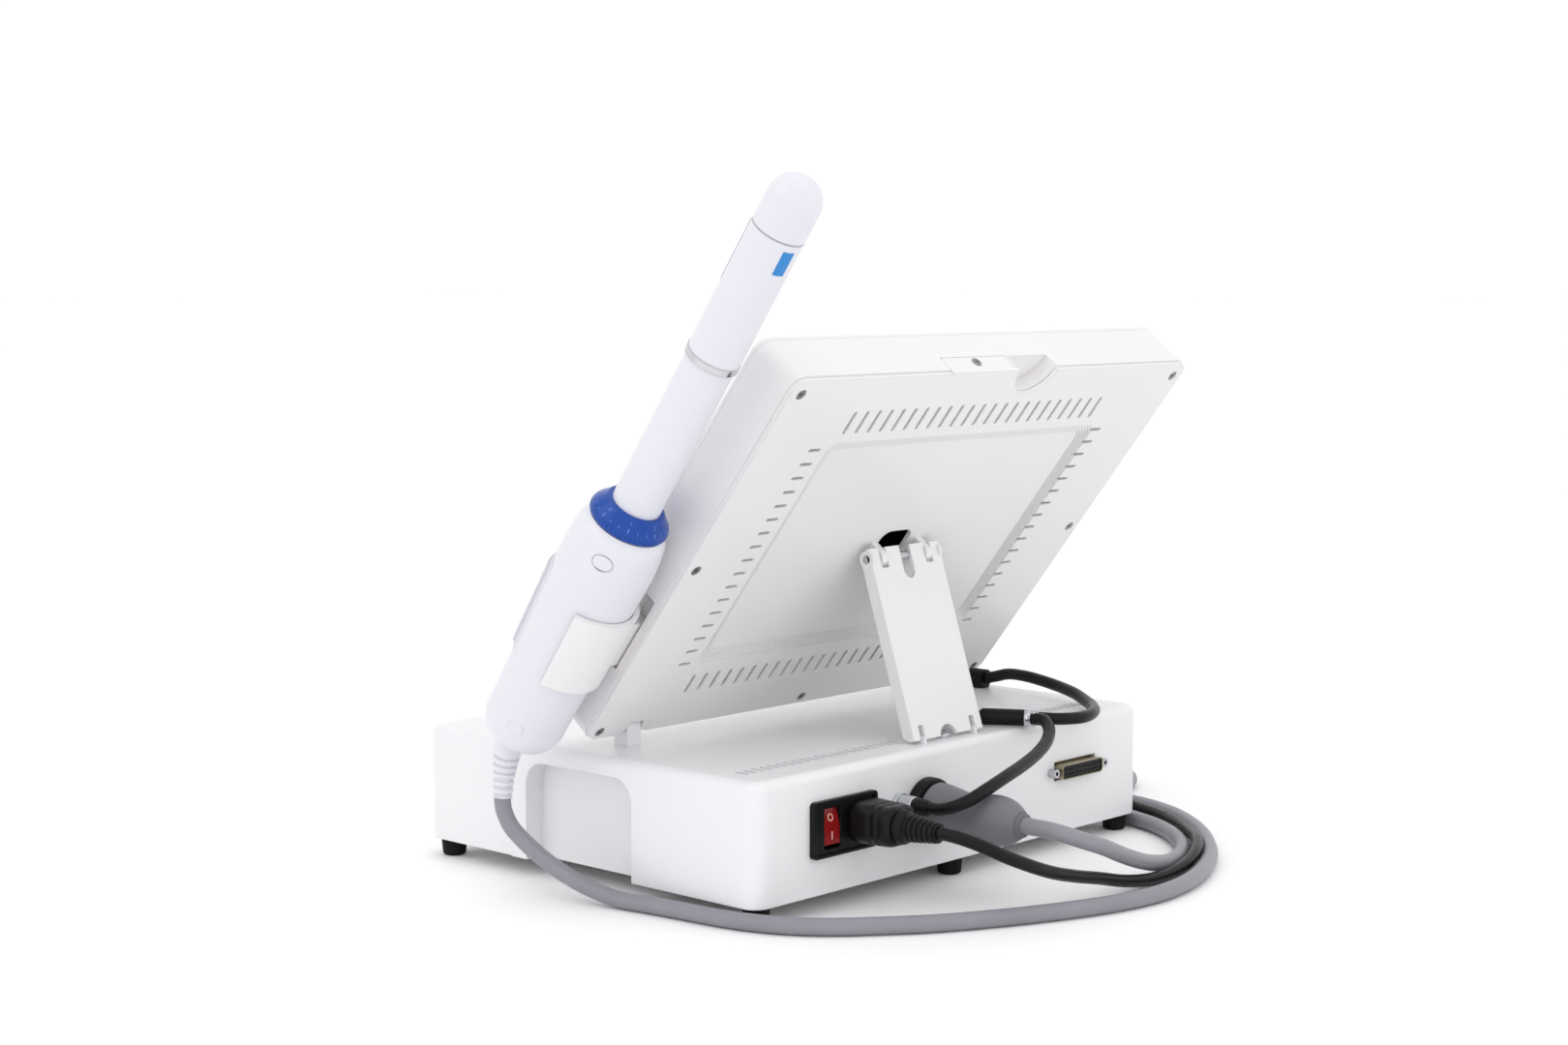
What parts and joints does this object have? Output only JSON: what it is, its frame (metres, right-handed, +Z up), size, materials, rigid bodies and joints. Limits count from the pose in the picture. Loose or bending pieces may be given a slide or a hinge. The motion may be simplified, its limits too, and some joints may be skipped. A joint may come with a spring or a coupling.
{
  "type": "portable ultrasound treatment console",
  "caption": "Tabletop ultrasound treatment console with a tilting touch screen on a prop leg, a probe handpiece in a side cradle, rear connectors and leads.",
  "frame": {"origin": "middle of the console's box on the table, without its free leads", "axes": "+Z up; -Y is the front, where the screen faces; +Y is the connector panel; +X is the handpiece's side"},
  "size_m": [0.5176, 0.3765, 0.3787],
  "materials": {
    "base_white": "gloss",
    "screen_white": "gloss",
    "hand_white": "gloss",
    "pad_grey": "satin",
    "under_grey": "matte",
    "foot_rubber": "matte",
    "black_plastic": "satin",
    "black_lead": "satin",
    "grey_plug": "satin",
    "grey_lead": "satin",
    "red_rocker": "gloss",
    "blue_dial": "gloss",
    "blue_label": "gloss",
    "chrome": "polished",
    "steel": "brushed",
    "tin": "satin",
    "glass_black": "gloss",
    "lcd": "matte",
    "board": "satin",
    "film": "gloss",
    "ceramic": "satin"
  },
  "bodies": {
    "base": {"base_shell": "base_white", "base_bottom": "under_grey", "foot_front_right": "foot_rubber", "foot_front_middle": "foot_rubber", "foot_front_left": "foot_rubber", "foot_rear_right": "foot_rubber", "foot_rear_middle": "foot_rubber", "foot_rear_left": "foot_rubber", "inlet": "black_plastic", "jack_socket": "chrome", "jack_plug": "chrome", "socket_collar": "black_plastic", "db25_shell": "tin", "db25_insulator": "black_plastic", "db25_screws": "steel", "leg_stop_screw": "steel", "power_supply": "steel", "main_board": "board", "link_base_plug": "black_plastic", "link_lead_screen": "black_lead", "link_lead_jack": "black_lead", "link_trunk": "black_lead", "link_barrel": "black_plastic", "link_ferrule": "chrome", "trunk_grommet": "black_plastic", "inlet_plug": "black_plastic", "inlet_plug_relief": "black_plastic", "mains_lead": "black_lead", "mains_coil": "black_lead", "mains_lead_end": "black_lead", "mains_plug": "black_plastic", "probe_plug": "grey_plug", "probe_lead_hand": "grey_lead", "probe_lead_panel": "grey_lead", "probe_coil": "grey_lead"},
    "screen": {"screen_housing": "screen_white", "rear_cover": "screen_white", "front_bezel": "screen_white", "lcd_panel": "lcd", "touch_glass": "glass_black", "display_board": "board", "cover_screws": "steel", "hinge_pin_right": "steel", "hinge_pin_left": "steel", "cradle": "screen_white"},
    "leg": {"leg_plate": "screen_white", "leg_pin": "steel"},
    "handpiece": {"handle_shell": "hand_white", "lead_relief": "hand_white", "index_motor": "steel"},
    "pad": {"side_pad": "pad_grey"},
    "button": {"release_button": "hand_white"},
    "probe": {"dial_ring": "blue_dial", "lower_shaft": "hand_white", "chrome_band": "chrome", "upper_shaft": "hand_white", "probe_window": "film", "probe_label": "blue_label"},
    "transducer": {"transducer": "ceramic"},
    "rocker": {"rocker": "red_rocker"}
  },
  "joints": [
    {"name": "screen_tilt", "type": "hinge", "parent": "base", "child": "screen", "pos_m": [-0.02685, -0.03203, 0.08705], "axis": [1, 0, 0], "range_deg": [0, 38.2]},
    {"name": "leg_fold", "type": "hinge", "parent": "screen", "child": "leg", "pos_m": [-0.02685, 0.04942, 0.17438], "axis": [1, 0, 0], "range_deg": [-56.5, 0.5]},
    {"name": "handpiece_lift", "type": "slide", "parent": "screen", "child": "handpiece", "axis": [0, 0.5835, 0.8121], "range_m": [0, 0.07]},
    {"name": "probe_turn", "type": "hinge", "parent": "handpiece", "child": "probe", "pos_m": [0.17065, 0.03517, 0.20645], "axis": [0, 0.5835, 0.8121], "range_deg": [-165, 165]},
    {"name": "transducer_scan", "type": "slide", "parent": "probe", "child": "transducer", "axis": [0, 0.5835, 0.8121], "range_m": [-0.018, 0.018]},
    {"name": "pad_press", "type": "slide", "parent": "handpiece", "child": "pad", "axis": [-0.5, 0.7033, -0.5054], "range_m": [0, 0.0008], "stiffness_N_per_m": 1200, "springref_m": -0.001},
    {"name": "button_press", "type": "slide", "parent": "handpiece", "child": "button", "axis": [-0.829, -0.4541, 0.3263], "range_m": [0, 0.0012], "stiffness_N_per_m": 1000, "springref_m": -0.0012},
    {"name": "rocker_switch", "type": "hinge", "parent": "base", "child": "rocker", "pos_m": [0.08405, 0.09114, 0.0448], "axis": [1, 0, 0], "range_deg": [-16, 0]}
  ],
  "couplings": [
    {"joint": "leg_fold", "follows": "screen_tilt", "ratio": -1.458}
  ]
}
